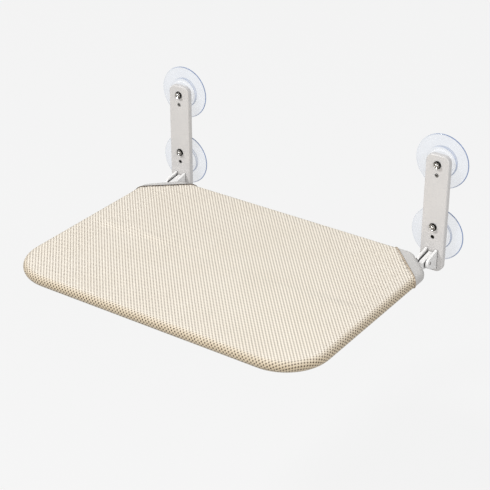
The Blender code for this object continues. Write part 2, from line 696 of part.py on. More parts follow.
def closure_strip():
    """Hook and loop strip that shuts the sleeve, under the deck near its rear edge."""
    top = DECK_Z - SLEEVE_R - SLEEVE_FLAT - GAP
    strip = box((-STRIP_HALF_W, STRIP_Y - STRIP_DEPTH / 2, top - STRIP_T),
                (STRIP_HALF_W, STRIP_Y + STRIP_DEPTH / 2, top))
    return finish_part(strip, "closure_strip", "strip")


# ---------------------------------------------------------------- assembly
def parent_to_axis(objects, name, x):
    """Put moving pieces under an empty on the hinge axis."""
    empty = bpy.data.objects.new(name, None)
    empty.location = (x, PIVOT_Y, PIVOT_Z)
    PARTS.objects.link(empty)
    bpy.context.view_layer.update()
    for obj in objects:
        obj.parent = empty
        obj.matrix_parent_inverse = empty.matrix_world.inverted()


def build():
    bracket_parts = {}
    deck_parts = []
    for side, sign in SIDES.items():
        x = sign * BRACKET_X
        pieces = [bracket_bar(side, x), hinge_fork(side, x), hinge_pin(side, x),
                  hinge_spacer(side, x, "inner"), hinge_spacer(side, x, "outer")]
        for end in ("upper", "lower"):
            pieces += [suction_cup(side, end, x), cup_stud(side, end, x), washer(side, end, x),
                       hex_nut(side, end, x), locating_screw(side, end, x)]
        bracket_parts[side] = pieces
        deck_parts += [hinge_tongue(side, x), corner_fitting(side, x), tongue_screw(side, x)]
    deck_parts += [frame_tube(), rear_tube(), fabric_cover(), closure_strip()]
    parent_to_axis(deck_parts, "deck_axis", -BRACKET_X)
    parent_to_axis(bracket_parts["right"], "right_bracket_axis", BRACKET_X)


build()
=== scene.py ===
"""Looks of the folding window perch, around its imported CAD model."""

import math

import bmesh
import bpy
import numpy as np
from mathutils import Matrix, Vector


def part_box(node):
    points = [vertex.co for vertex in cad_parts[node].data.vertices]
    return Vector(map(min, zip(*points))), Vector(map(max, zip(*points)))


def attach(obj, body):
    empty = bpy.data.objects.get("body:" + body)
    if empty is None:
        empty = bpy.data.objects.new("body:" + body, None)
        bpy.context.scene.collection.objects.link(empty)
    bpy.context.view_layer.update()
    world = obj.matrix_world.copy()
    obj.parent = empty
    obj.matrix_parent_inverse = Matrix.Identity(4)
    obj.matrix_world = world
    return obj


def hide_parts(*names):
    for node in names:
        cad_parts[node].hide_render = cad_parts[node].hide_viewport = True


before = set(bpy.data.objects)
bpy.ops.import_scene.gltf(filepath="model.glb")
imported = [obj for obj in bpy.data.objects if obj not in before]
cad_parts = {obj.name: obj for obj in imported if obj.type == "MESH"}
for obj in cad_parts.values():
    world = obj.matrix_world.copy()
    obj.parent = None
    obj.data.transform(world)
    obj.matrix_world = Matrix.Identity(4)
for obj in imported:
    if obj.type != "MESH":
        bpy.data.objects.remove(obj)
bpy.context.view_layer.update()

# ---------------------------------------------------------------- sizes, in metres
SIDES = {"left": -1, "right": 1}
ENDS = ("upper", "lower")

COVER_LOW, COVER_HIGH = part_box("fabric_cover")
DECK_Z = (COVER_LOW.z + COVER_HIGH.z) / 2
SLEEVE_R = 0.0094                       # outside of the cloth round the tube
HALF_W = COVER_HIGH.x - SLEEVE_R        # tube centre line
REAR_Y = COVER_HIGH.y - SLEEVE_R
FRONT_Y = COVER_LOW.y + SLEEVE_R
CORNER_R = 0.066                        # front corners, at the tube's centre line
# The cloth's cut edge, from over the rear tube to over the side tube, as (|x|, y)
CUT_EDGE = {"left": ((0.2055, -0.0500), (0.2655, -0.1015)),
            "right": ((0.2055, -0.0505), (0.2655, -0.1105))}
CLOTH_T = 0.0009

# The knitted mesh: holes in rows along X, each row shifted by half a pitch
MESH_PITCH = 0.0059
MESH_ROW = 0.00346

REAR_CORNER_R = 0.004                   # rear corners, before the diagonal cut
PANEL_RINGS = 34
FIRST_RING = 0.002                      # share of the way out, so that the middle is no point
SLEEVE_RISE = 0.0002                    # of the panels over the round of the tube
EDGE_STEPS = 14
SAG_GRID = (60, 44)
SAG_FRAMES = 24
TOP_SAG = 0.0028
BOTTOM_SAG = 0.0020

FITTING_LIFT = 0.0004                   # of the cloth where it laps over a corner fitting
LAP_START = 0.146                       # |x| + y where that lift begins
LAP_RAMP = 0.008
HEM_R = 0.0012
HEM_PROUD = 0.0006
HEM_STEPS = 12
HEM_PITCH = 0.0075                      # of |x| - y between two thread turns

NUT_BORE_R = 0.0031
NUT_SINK_R = 0.0042                     # countersink round the stud

STITCH_PITCH = 0.0042
STITCH_LENGTH = 0.0030
STITCH_R = 0.00028

CUP_R = 0.0455
CUP_DISC_R = 0.0255                     # stiffer disc round the boss
BOSS_HIGHLIGHT_R = 0.0205                     # middle of the painted highlight line round the boss's rim
CUP_SEAT_R = 0.0210
CUP_DISC_H = 0.0047

CAMERA_AZIMUTH = 34.62
CAMERA_ELEVATION = 28.24
CAMERA_PLACE = (1.1288, -1.8126, 0.9854)
CAMERA_LENS = 104.41
FLOOR_Z = -0.62
FLOOR_GLOW = 0.862
FLOOR_BOUNCE = 0.52
WORLD_LIGHT = 0.45
BACKDROP_GLOW = 0.90                    # what the camera sees beyond the floor
FLAG_DIRECTION = (0.75, -0.35, 0.75)
KEY_POWER = 150.0
FILL_POWER = 33.0


# ---------------------------------------------------------------- small helpers
def new_object(name, mesh):
    obj = bpy.data.objects.new(name, mesh)
    bpy.context.scene.collection.objects.link(obj)
    return obj


def apply_modifiers(obj):
    depsgraph = bpy.context.evaluated_depsgraph_get()
    mesh = bpy.data.meshes.new_from_object(obj.evaluated_get(depsgraph))
    obj.modifiers.clear()
    obj.data = mesh
    return obj


def set_material(obj, mat):
    obj.data.materials.clear()
    obj.data.materials.append(mat)


def smooth(obj, angle=math.radians(35)):
    obj.data.shade_smooth()
    obj.data.set_sharp_from_angle(angle=angle)


def arc(centre, radius, start, end, steps):
    return [(centre[0] + radius * math.cos(start + (end - start) * i / steps),
             centre[1] + radius * math.sin(start + (end - start) * i / steps))
            for i in range(steps + 1)]


# ---------------------------------------------------------------- node materials
class Nodes:
    """A small helper that adds nodes to one material and links them."""

    def __init__(self, name):
        self.mat = bpy.data.materials.new(name)
        self.mat.use_nodes = True
        self.tree = self.mat.node_tree
        self.shader = self.tree.nodes["Principled BSDF"]

    def add(self, kind, **values):
        node = self.tree.nodes.new(kind)
        for key, value in values.items():
            setattr(node, key, value)
        return node

    def link(self, source, target):
        self.tree.links.new(source, target)

    def math(self, operation, a, b=None, clamp=False):
        node = self.add("ShaderNodeMath", operation=operation, use_clamp=clamp)
        for socket, value in zip(node.inputs, (a, b)):
            if value is None:
                continue
            if isinstance(value, (int, float)):
                socket.default_value = value
            else:
                self.link(value, socket)
        return node.outputs[0]

    def remap(self, value, low, high, to_low=0.0, to_high=1.0):
        node = self.add("ShaderNodeMapRange", interpolation_type="SMOOTHSTEP")
        self.link(value, node.inputs["Value"])
        for key, number in (("From Min", low), ("From Max", high),
                            ("To Min", to_low), ("To Max", to_high)):
            node.inputs[key].default_value = number
        return node.outputs["Result"]

    def mix(self, factor, a, b):
        node = self.add("ShaderNodeMix", data_type="RGBA")
        for key, value in (("Factor", factor), ("A", a), ("B", b)):
            socket = [s for s in node.inputs if s.name == key and s.enabled][0]
            if isinstance(value, tuple):
                socket.default_value = (*value, 1.0)
            elif isinstance(value, (int, float)):
                socket.default_value = value
            else:
                self.link(value, socket)
        return [s for s in node.outputs if s.enabled][0]

    def noise(self, scale, detail=3.0, roughness=0.55, stretch=None):
        coords = self.add("ShaderNodeTexCoord").outputs["Object"]
        if stretch:
            mapping = self.add("ShaderNodeMapping")
            mapping.inputs["Scale"].default_value = stretch
            self.link(coords, mapping.inputs["Vector"])
            coords = mapping.outputs["Vector"]
        node = self.add("ShaderNodeTexNoise")
        node.inputs["Scale"].default_value = scale
        node.inputs["Detail"].default_value = detail
        node.inputs["Roughness"].default_value = roughness
        self.link(coords, node.inputs["Vector"])
        return node.outputs["Fac"]

    def bump(self, height, distance, strength=1.0, below=None):
        node = self.add("ShaderNodeBump")
        node.inputs["Strength"].default_value = strength
        node.inputs["Distance"].default_value = distance
        self.link(height, node.inputs["Height"])
        if below is not None:
            self.link(below, node.inputs["Normal"])
        return node.outputs["Normal"]

    def base(self, value):
        self.link(value, self.shader.inputs["Base Color"])

    def rough(self, value):
        self.link(value, self.shader.inputs["Roughness"])

    def normal(self, value):
        self.link(value, self.shader.inputs["Normal"])

    def painted_crevice_shade(self, reach=0.006, low=0.35, high=0.75):
        """Painted shade: a mask from ambient occlusion, low in narrow gaps between pieces where shade
        falls, high in the open.
        """
        shade = self.add("ShaderNodeAmbientOcclusion", samples=8)
        shade.inputs["Distance"].default_value = reach
        return self.remap(shade.outputs["AO"], low, high)


def plastic(name, color, shade, roughness, grain=0.00003, specular=0.5, painted_gap_shade=0.0):
    """Moulded plastic with a fine spark-eroded grain, slight random tone changes and, where asked,
    painted shade in narrow gaps.
    """
    n = Nodes(name)
    tone = n.mix(n.remap(n.noise(9.0, 4.0), 0.35, 0.65), color, shade)
    # painted shade: narrow gaps between pieces are darkened towards a near-black copy of the second tone
    if painted_gap_shade:
        painted_gap_colour = tuple(part * (1 - painted_gap_shade) for part in shade)
        tone = n.mix(n.painted_crevice_shade(), painted_gap_colour, tone)
    n.base(tone)
    n.rough(n.remap(n.noise(60.0, 2.0), 0.3, 0.7, roughness - 0.05, roughness + 0.08))
    n.normal(n.bump(n.noise(2600.0, 2.0, 0.7), grain, 0.6))
    n.shader.inputs["Specular IOR Level"].default_value = specular
    return n.mat


def metal(name, color, shade, roughness, streaks=(1.0, 1.0, 40.0)):
    """Plated or blackened steel with a fine turned finish, small stains, and painted shade in narrow
    gaps.
    """
    n = Nodes(name)
    tone = n.remap(n.noise(320.0, 3.0), 0.3, 0.7)
    bright = n.mix(tone, color, shade)
    # painted shade: narrow gaps go almost black
    n.base(n.mix(n.painted_crevice_shade(0.0025, 0.30, 0.80), tuple(part * 0.06 for part in shade), bright))
    n.rough(n.remap(n.noise(900.0, 3.0, 0.6, streaks), 0.25, 0.75, roughness - 0.08, roughness + 0.12))
    n.normal(n.bump(n.noise(1500.0, 2.0, 0.6, streaks), 0.00001, 0.5))
    n.shader.inputs["Metallic"].default_value = 1.0
    return n.mat


def clear_pvc():
    """Soft clear PVC: nearly see-through, tinted where the moulding is thick or steps down, with painted
    shade along those lines on the upper right and a painted highlight round the boss.
    """
    n = Nodes("clear_pvc")
    n.shader.inputs["IOR"].default_value = 1.45
    split = n.add("ShaderNodeSeparateXYZ")
    n.link(n.add("ShaderNodeTexCoord").outputs["Object"], split.inputs[0])
    x, z = split.outputs["X"], split.outputs["Z"]
    radius = n.math("SQRT", n.math("ADD", n.math("MULTIPLY", x, x), n.math("MULTIPLY", z, z)))
    lip = n.remap(radius, CUP_R - 0.0021, CUP_R - 0.0010)
    step = n.remap(n.math("ABSOLUTE", n.math("SUBTRACT", radius, CUP_DISC_R)), 0.0013, 0.0005, 0.0, 0.75)
    # painted shade: the rim and step lines are drawn darker and more opaque on their upper right,
    # fainter on the lower left
    toward_shaded_side = n.math("ADD", n.math("MULTIPLY", x, 0.88), n.math("MULTIPLY", z, 0.42))
    painted_side_shade = n.remap(n.math("DIVIDE", toward_shaded_side, radius), -0.5, 0.75, 0.22, 1.0)
    line = n.math("MULTIPLY", n.math("MAXIMUM", lip, step), painted_side_shade)
    # painted highlight: a white, more opaque line round the boss, where its rim catches the light
    boss = n.remap(n.math("ABSOLUTE", n.math("SUBTRACT", radius, BOSS_HIGHLIGHT_R)), 0.0014, 0.0005, 0.0, 0.8)
    body = n.mix(n.remap(n.noise(40.0, 2.0), 0.3, 0.7), (0.52, 0.60, 0.75), (0.58, 0.66, 0.79))
    n.base(n.mix(boss, n.mix(line, body, (0.14, 0.22, 0.42)), (0.97, 0.97, 0.98)))
    rim = n.add("ShaderNodeLayerWeight")
    rim.inputs["Blend"].default_value = 0.35
    cloud = n.remap(n.noise(30.0, 3.0), 0.3, 0.7, 0.0, 0.03)
    clear = n.math("ADD", n.remap(rim.outputs["Facing"], 0.35, 1.0, 0.12, 0.60), cloud)
    solid = n.math("MAXIMUM", n.math("MULTIPLY", line, 0.80), n.math("MULTIPLY", boss, 0.45))
    n.link(n.math("MAXIMUM", clear, solid), n.shader.inputs["Alpha"])
    n.rough(n.remap(n.noise(120.0, 2.0), 0.3, 0.7, 0.05, 0.13))
    n.normal(n.bump(n.noise(180.0, 2.0), 0.00005, 0.4))
    return n.mat


def mesh_cloth():
    """Knitted mesh: cream threads round small holes in shifted rows, from the unrolled cloth; the holes
    carry painted shade from inside the sleeve, and threads and holes round the tube are painted darker
    as side shade.
    """
    n = Nodes("mesh_cloth")
    flat = n.add("ShaderNodeAttribute", attribute_name="flat", attribute_type="GEOMETRY")
    split = n.add("ShaderNodeSeparateXYZ")
    n.link(flat.outputs["Vector"], split.inputs[0])
    across = n.math("MULTIPLY", split.outputs["X"], 2 * math.pi / MESH_PITCH)
    along = n.math("MULTIPLY", split.outputs["Y"], math.pi / MESH_ROW)
    one = n.math("COSINE", n.math("ADD", across, along))
    two = n.math("COSINE", n.math("SUBTRACT", across, along))
    depth = n.add("ShaderNodeAttribute", attribute_name="edge", attribute_type="GEOMETRY")
    side = depth.outputs["Fac"]
    # one of the two diagonals is pulled flatter on the stretched top than round the tube
    share = n.math("ADD", n.math("MULTIPLY", side, 0.12), 0.38)
    one = n.math("MULTIPLY", one, n.math("SUBTRACT", 1.0, share))
    both = n.math("ADD", one, n.math("MULTIPLY", two, share))      # 1 in a hole, -1 between
    hole = n.remap(both, 0.05, 0.75)
    fine = n.remap(n.noise(1400.0, 3.0, 0.6), 0.25, 0.75)
    patches = n.remap(n.noise(14.0, 3.0), 0.3, 0.7)
    thread = n.mix(fine, (0.915, 0.856, 0.758), (0.795, 0.726, 0.618))
    thread = n.mix(n.math("MULTIPLY", patches, 0.25), thread, (0.78, 0.70, 0.58))
    # painted shade: round the side of the tube the threads are drawn darker, as the band is in shade
    thread_in_side_shade = n.mix(fine, (0.70, 0.595, 0.44), (0.50, 0.40, 0.265))
    thread = n.mix(side, thread, thread_in_side_shade)
    # painted shade: the holes carry the shade inside the sleeve, near black round the side of the tube
    painted_hole_shade = n.mix(side, (0.405, 0.343, 0.275), (0.07, 0.043, 0.024))
    n.base(n.mix(hole, thread, painted_hole_shade))
    n.rough(n.remap(both, -1.0, 1.0, 0.85, 0.95))
    strands = n.noise(2200.0, 2.0, 0.6)
    height = n.math("SUBTRACT", n.math("MULTIPLY", strands, 0.25), hole)
    n.normal(n.bump(height, 0.0007, 0.9))
    n.shader.inputs["Sheen Weight"].default_value = 0.25
    n.shader.inputs["Sheen Roughness"].default_value = 0.5
    n.shader.inputs["Specular IOR Level"].default_value = 0.2
    return n.mat


def bound_edge(name, color, shade):
    """Overlocked raw edge: darker thread turns in step with the mesh."""
    n = Nodes(name)
    split = n.add("ShaderNodeSeparateXYZ")
    n.link(n.add("ShaderNodeTexCoord").outputs["Object"], split.inputs[0])
    along = n.math("SUBTRACT", split.outputs["Y"], n.math("ABSOLUTE", split.outputs["X"]))
    turns = n.math("SINE", n.math("MULTIPLY", along, 2 * math.pi / HEM_PITCH))
    fine = n.remap(n.noise(1600.0, 3.0), 0.3, 0.7, -0.4, 0.4)
    n.base(n.mix(n.remap(n.math("ADD", turns, fine), -0.7, 0.7), color, shade))
    n.rough(n.remap(n.noise(700.0), 0.3, 0.7, 0.8, 0.95))
    n.normal(n.bump(turns, 0.0003, 0.6))
    return n.mat


def tape_cloth(name, color, shade):
    """Close-woven tape with a fine rib."""
    n = Nodes(name)
    rib = n.add("ShaderNodeTexWave", bands_direction="DIAGONAL")
    rib.inputs["Scale"].default_value = 420.0
    rib.inputs["Distortion"].default_value = 1.5
    coords = n.add("ShaderNodeTexCoord").outputs["Object"]
    n.link(coords, rib.inputs["Vector"])
    fine = n.remap(n.noise(900.0, 3.0), 0.3, 0.7)
    n.base(n.mix(n.math("MULTIPLY", n.math("ADD", rib.outputs["Fac"], fine), 0.5), color, shade))
    n.shader.inputs["Roughness"].default_value = 0.9
    n.shader.inputs["Sheen Weight"].default_value = 0.2
    n.normal(n.bump(rib.outputs["Fac"], 0.0002, 0.7))
    return n.mat


MAT = {
    "bar": plastic("bar_plastic", (0.625, 0.606, 0.592), (0.60, 0.582, 0.568), 0.45),
    # painted shade: the hinge fork and tongue go near black in the narrow gaps between them
    "white": plastic("hinge_plastic", (0.78, 0.77, 0.76), (0.74, 0.73, 0.72), 0.35, painted_gap_shade=0.95),
    "fitting": plastic("fitting_plastic", (0.56, 0.548, 0.532), (0.52, 0.508, 0.494), 0.42),
    "pvc": clear_pvc(),
    "zinc": metal("zinc_steel", (0.62, 0.61, 0.585), (0.44, 0.425, 0.40), 0.17),
    "grey": metal("grey_steel", (0.30, 0.29, 0.28), (0.20, 0.195, 0.19), 0.45),
    "black": metal("black_steel", (0.045, 0.043, 0.04), (0.022, 0.021, 0.02), 0.42),
    "nylon": plastic("spacer_nylon", (0.16, 0.16, 0.16), (0.12, 0.12, 0.12), 0.5),
    "tube": plastic("tube_paint", (0.60, 0.59, 0.57), (0.55, 0.54, 0.52), 0.35),
    "mesh": mesh_cloth(),
    "tape": tape_cloth("closure_tape", (0.60, 0.53, 0.42), (0.42, 0.36, 0.28)),
    "thread": tape_cloth("stitch_thread", (0.75, 0.69, 0.58), (0.55, 0.48, 0.38)),
    # painted shade: the left hem is near black for the shade along its cut edge; the right one keeps the
    # thread's brown
    "left_hem": bound_edge("left_hem_thread_painted_shade", (0.16, 0.12, 0.085), (0.02, 0.014, 0.010)),
    "right_hem": bound_edge("right_hem_thread", (0.56, 0.48, 0.38), (0.32, 0.25, 0.18)),
}


# ---------------------------------------------------------------- deck cloth
def tube_path():
    """The tube's centre line as (x, y, outward x, outward y), closed, seen from above."""
    path = []
    inner_x = HALF_W - CORNER_R
    inner_y = FRONT_Y + CORNER_R
    rear_x = HALF_W - REAR_CORNER_R
    rear_y = REAR_Y - REAR_CORNER_R
    quarter = math.pi / 2

    def run(start, end, outward, count):
        for i in range(count):
            t = i / count
            path.append((start[0] + (end[0] - start[0]) * t, start[1] + (end[1] - start[1]) * t,
                         *outward))

    def turn(centre, radius, start, count):
        for i in range(count):
            angle = start - quarter * i / count
            out = (math.cos(angle), math.sin(angle))
            path.append((centre[0] + radius * out[0], centre[1] + radius * out[1], *out))

    run((HALF_W, rear_y), (HALF_W, inner_y), (1.0, 0.0), 60)
    turn((inner_x, inner_y), CORNER_R, 0.0, 28)
    run((inner_x, FRONT_Y), (-inner_x, FRONT_Y), (0.0, -1.0), 80)
    turn((-inner_x, inner_y), CORNER_R, -quarter, 28)
    run((-HALF_W, inner_y), (-HALF_W, rear_y), (-1.0, 0.0), 60)
    turn((-rear_x, rear_y), REAR_CORNER_R, 2 * quarter, 4)
    run((-rear_x, REAR_Y), (rear_x, REAR_Y), (0.0, 1.0), 90)
    turn((rear_x, rear_y), REAR_CORNER_R, quarter, 4)
    return np.array(path)


def simulate_sag():
    """How far a panel stretched over the frame hangs, as a grid from 0 to 1, from a cloth simulation."""
    nx, ny = SAG_GRID
    bm = bmesh.new()
    bmesh.ops.create_grid(bm, x_segments=nx, y_segments=ny, size=0.5)
    mesh = bpy.data.meshes.new("sag_panel")
    bm.to_mesh(mesh)
    bm.free()
    panel = new_object("sag_panel", mesh)
    panel.scale = (2 * HALF_W, REAR_Y - FRONT_Y, 1.0)
    bpy.context.view_layer.update()
    mesh.transform(panel.matrix_world)
    panel.scale = (1.0, 1.0, 1.0)
    pins = panel.vertex_groups.new(name="pins")
    half_depth = (REAR_Y - FRONT_Y) / 2
    edge = [v.index for v in mesh.vertices
            if abs(v.co.x) > HALF_W - 1e-4 or abs(v.co.y) > half_depth - 1e-4]
    pins.add(edge, 1.0, "REPLACE")
    cloth = panel.modifiers.new("cloth", "CLOTH")
    cloth.settings.quality = 6
    cloth.settings.mass = 0.25
    cloth.settings.tension_stiffness = 60.0
    cloth.settings.compression_stiffness = 60.0
    cloth.settings.vertex_group_mass = "pins"
    cloth.collision_settings.use_self_collision = False
    scene = bpy.context.scene
    for number in range(1, SAG_FRAMES + 1):
        scene.frame_set(number)
    apply_modifiers(panel)
    heights = sorted((round(v.co.y, 5), round(v.co.x, 5), v.co.z) for v in panel.data.vertices)
    bpy.data.objects.remove(panel, do_unlink=True)
    scene.frame_set(1)
    sag = -np.array([h[2] for h in heights]).reshape(ny + 1, nx + 1)
    return np.clip(sag / sag.max(), 0.0, 1.0)


def read_grid(grid, x, y):
    """Bilinear value of a grid laid over the frame, at a point inside the tube's centre line."""
    rows, cols = grid.shape
    u = np.clip((x + HALF_W) / (2 * HALF_W), 0, 1) * (cols - 1)
    v = np.clip((y - FRONT_Y) / (REAR_Y - FRONT_Y), 0, 1) * (rows - 1)
    i = np.minimum(u.astype(int), cols - 2)
    j = np.minimum(v.astype(int), rows - 2)
    fu, fv = u - i, v - j
    low = grid[j, i] * (1 - fu) + grid[j, i + 1] * fu
    high = grid[j + 1, i] * (1 - fu) + grid[j + 1, i + 1] * fu
    return low * (1 - fv) + high * fv


def sleeve_rings(path, sag, radius):
    """Rings of the sleeve from the middle of its top, round the tube, to the middle below.

    Each ring is (places, unrolled places, share of the way to the outermost line).
    """
    middle = np.array([0.0, (REAR_Y + FRONT_Y) / 2])
    rings = []

    def panel(share, side, depth):
        plan = middle + (path[:, :2] - middle) * share
        fall = depth * read_grid(sag, plan[:, 0], plan[:, 1]) * min(1.0, (1 - share) * 6)
        height = DECK_Z + side * (radius + SLEEVE_RISE) - fall
        return np.column_stack([plan, height]), plan, 0.0

    shares = [max(i / PANEL_RINGS, FIRST_RING) for i in range(PANEL_RINGS)]
    for share in shares:
        rings.append(panel(share, 1, TOP_SAG))
    for i in range(EDGE_STEPS + 1):
        angle = math.pi * i / EDGE_STEPS
        plan = path[:, :2] + path[:, 2:] * radius * math.sin(angle)
        flat = path[:, :2] + path[:, 2:] * radius * angle
        height = DECK_Z + (radius + SLEEVE_RISE) * math.cos(angle)
        rings.append((np.column_stack([plan, np.full(len(path), height)]), flat,
                      math.sin(angle)))
    for share in reversed(shares):
        rings.append(panel(share, -1, BOTTOM_SAG))
    return rings


def cut_ends(side):
    sign = SIDES[side]
    return [Vector((sign * x, y, DECK_Z)) for x, y in CUT_EDGE[side]]


def sleeve_mesh(name, rings):
    count = len(rings[0][0])
    bm = bmesh.new()
    flat_layer = bm.verts.layers.float_vector.new("flat")
    edge_layer = bm.verts.layers.float.new("edge")
    rows = []
    for places, flats, share in rings:
        row = []
        for place, flat in zip(places, flats):
            over = min(1.0, max(0.0, (abs(place[0]) + place[1] - LAP_START) / LAP_RAMP))
            lift = 1.0 if place[2] > DECK_Z else -1.0
            vert = bm.verts.new((place[0], place[1], place[2] + lift * over * FITTING_LIFT))
            vert[flat_layer] = (flat[0], flat[1], 0.0)
            vert[edge_layer] = share
            row.append(vert)
        rows.append(row)
    for a, b in zip(rows, rows[1:]):
        for i in range(count):
            j = (i + 1) % count
            bm.faces.new((a[i], a[j], b[j], b[i]))
    bm.faces.new(list(reversed(rows[0])))
    bm.faces.new(rows[-1])
    bmesh.ops.recalc_face_normals(bm, faces=bm.faces)
    for side, sign in SIDES.items():
        rear, flank = cut_ends(side)
        along = flank - rear
        bmesh.ops.bisect_plane(bm, geom=bm.verts[:] + bm.edges[:] + bm.faces[:], plane_co=rear,
                               plane_no=Vector((-sign * along.y, sign * along.x, 0.0)),
                               clear_outer=True)
    mesh = bpy.data.meshes.new(name)
    bm.to_mesh(mesh)
    bm.free()
    return mesh


def fabric_sleeve():
    sag = simulate_sag()
    rings = sleeve_rings(tube_path(), sag, SLEEVE_R)
    sleeve = new_object("fabric_sleeve", sleeve_mesh("fabric_sleeve", rings))
    solid = sleeve.modifiers.new("thickness", "SOLIDIFY")
    solid.thickness = CLOTH_T
    solid.offset = -1.0
    apply_modifiers(sleeve)
    sleeve.data.shade_smooth()
    set_material(sleeve, MAT["mesh"])
    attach(sleeve, "deck")
    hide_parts("fabric_cover")
    return sleeve


def cut_edge_hem(side, sign):
    """A bound edge along the diagonal cut of the sleeve, one closed loop."""
    rear, flank = cut_ends(side)
    along = (rear - flank).normalized()
    radius = SLEEVE_R + HEM_PROUD
    points = []
    for centre, outward, across in ((rear, along, along.y), (flank, -along, abs(along.x))):
        for i in range(HEM_STEPS + 1):
            angle = math.pi * i / HEM_STEPS
            turn = angle if centre is rear else math.pi - angle
            # the cut is slanted, so the half circle round the tube is stretched along it
            out = math.sin(turn) * radius / across
            points.append(centre + outward * out + Vector((0.0, 0.0, math.cos(turn) * radius)))
    curve = bpy.data.curves.new(side + "_sleeve_hem", "CURVE")
    curve.dimensions = "3D"
    curve.bevel_depth = HEM_R
    curve.bevel_resolution = 3
    spline = curve.splines.new("POLY")
    spline.points.add(len(points) - 1)
    for point, place in zip(spline.points, points):
        point.co = (*place, 1.0)
    spline.use_cyclic_u = True
    hem = new_object(side + "_sleeve_hem", curve)
    depsgraph = bpy.context.evaluated_depsgraph_get()
    mesh = bpy.data.meshes.new_from_object(hem.evaluated_get(depsgraph))
    bpy.data.objects.remove(hem, do_unlink=True)
    hem = new_object(side + "_sleeve_hem", mesh)
    hem.data.shade_smooth()
    set_material(hem, MAT[side + "_hem"])
    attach(hem, "deck")
    return hem


def closure_stitches():
    """Two rows of lockstitch along the closure strip under the deck."""
    low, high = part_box("closure_strip")
    count = int((high.x - low.x - 2 * STITCH_PITCH) / STITCH_PITCH)
    bm = bmesh.new()
    for y in (low.y + 0.0022, high.y - 0.0022):
        for i in range(count + 1):
            x = (i - count / 2) * STITCH_PITCH
            made = bmesh.ops.create_uvsphere(bm, u_segments=8, v_segments=6, radius=STITCH_R)
            for vert in made["verts"]:
                vert.co.x = x + vert.co.x * STITCH_LENGTH / (2 * STITCH_R)
                vert.co.y += y
                vert.co.z = low.z - STITCH_R * 0.4 + vert.co.z
    mesh = bpy.data.meshes.new("closure_stitches")
    bm.to_mesh(mesh)
    bm.free()
    stitches = new_object("closure_stitches", mesh)
    stitches.data.shade_smooth()
    set_material(stitches, MAT["thread"])
    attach(stitches, "deck")
    return stitches


# ---------------------------------------------------------------- turned and moulded pieces
def turned(name, profile, sides):
    """A closed solid from (radius, height) points, height towards the room (-Y)."""
    bm = bmesh.new()
    rows = []
    for radius, height in profile:
        if radius < 1e-9:
            rows.append([bm.verts.new((0.0, -height, 0.0))])
            continue
        row = []
        for i in range(sides):
            angle = 2 * math.pi * i / sides
            row.append(bm.verts.new((radius * math.cos(angle), -height, radius * math.sin(angle))))
        rows.append(row)
    for a, b in zip(rows, rows[1:]):
        for i in range(sides):
            j = (i + 1) % sides
            corners = [a[i % len(a)], a[j % len(a)], b[j % len(b)], b[i % len(b)]]
            unique = list(dict.fromkeys(corners))
            if len(unique) > 2:
                bm.faces.new(unique)
    bmesh.ops.recalc_face_normals(bm, faces=bm.faces)
    mesh = bpy.data.meshes.new(name)
    bm.to_mesh(mesh)
    bm.free()
    return new_object(name, mesh)


def suction_cup(side, end):
    """A soft cup: boss, disc, thin curved skirt with a rolled lip, and the hollow behind."""
    node = "%s_%s_suction_cup" % (side, end)
    low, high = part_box(node)
    radius = (high.x - low.x) / 2
    boss = -low.y
    cup = turned(side + "_" + end + "_clear_cup", cup_profile(radius, boss), 96)
    cup.location = ((low.x + high.x) / 2, 0.0, (low.z + high.z) / 2)
    smooth(cup, math.radians(50))
    set_material(cup, MAT["pvc"])
    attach(cup, side + "_bracket")
    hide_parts(node)
    return cup


def cup_profile(radius, boss):
    """Half section of the cup as (radius, height above the glass)."""
    disc_r, seat_r, disc_h = CUP_DISC_R, CUP_SEAT_R, CUP_DISC_H
    seat = [(0.0, boss), (seat_r - 0.0010, boss)] + arc((seat_r - 0.0010, boss - 0.0010), 0.0010,
                                                       math.pi / 2, 0.0, 4)[1:]
    disc = [(seat_r + 0.0001, disc_h + 0.0005), (seat_r + 0.0007, disc_h)]
    disc += arc((disc_r - 0.0008, disc_h - 0.0008), 0.0008, math.pi / 2, 0.0, 4)
    skirt = []
    for i in range(1, 13):
        t = i / 12
        r = disc_r + (radius - 0.0012 - disc_r) * t
        h = 0.0036 * (1 - t) ** 0.8 + 0.0012
        skirt.append((r, h))
    lip = arc((radius - 0.0007, 0.0007), 0.0007, math.pi / 2, -math.pi / 2, 8)
    hollow = [(0.0380, 0.0001)] + [(0.038 * (1 - i / 8), 0.0018 * math.sin(math.pi / 2 * i / 8))
                                   for i in range(1, 9)]
    return seat + disc + skirt + lip + hollow


def threaded_stud(side, end):
    """The visible end of the stud, with thread grooves and a rounded point."""
    node = "%s_%s_cup_stud" % (side, end)
    low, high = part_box(node)
    centre = (low + high) / 2
    core, crest, pitch = 0.0026, 0.0030, 0.0010
    tip = -low.y
    profile = [(0.0, tip), (core - 0.0009, tip), (core - 0.0006, tip - 0.0001), (core, tip - 0.0008)]
    height = tip - 0.0009
    while height > 0.0045 + pitch:
        profile += [(crest, height - pitch * 0.35), (crest, height - pitch * 0.55),
                    (core, height - pitch * 0.90), (core, height - pitch)]
        height -= pitch
    profile += [(crest, 0.0042), (0.0060, 0.0040), (0.0060, 0.0028), (0.0, 0.0028)]
    stud = turned(side + "_" + end + "_threaded_stud", profile, 32)
    stud.location = (centre.x, 0.0, centre.z)
    smooth(stud)
    set_material(stud, MAT["zinc"])
    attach(stud, side + "_bracket")
    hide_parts(node)
    return stud


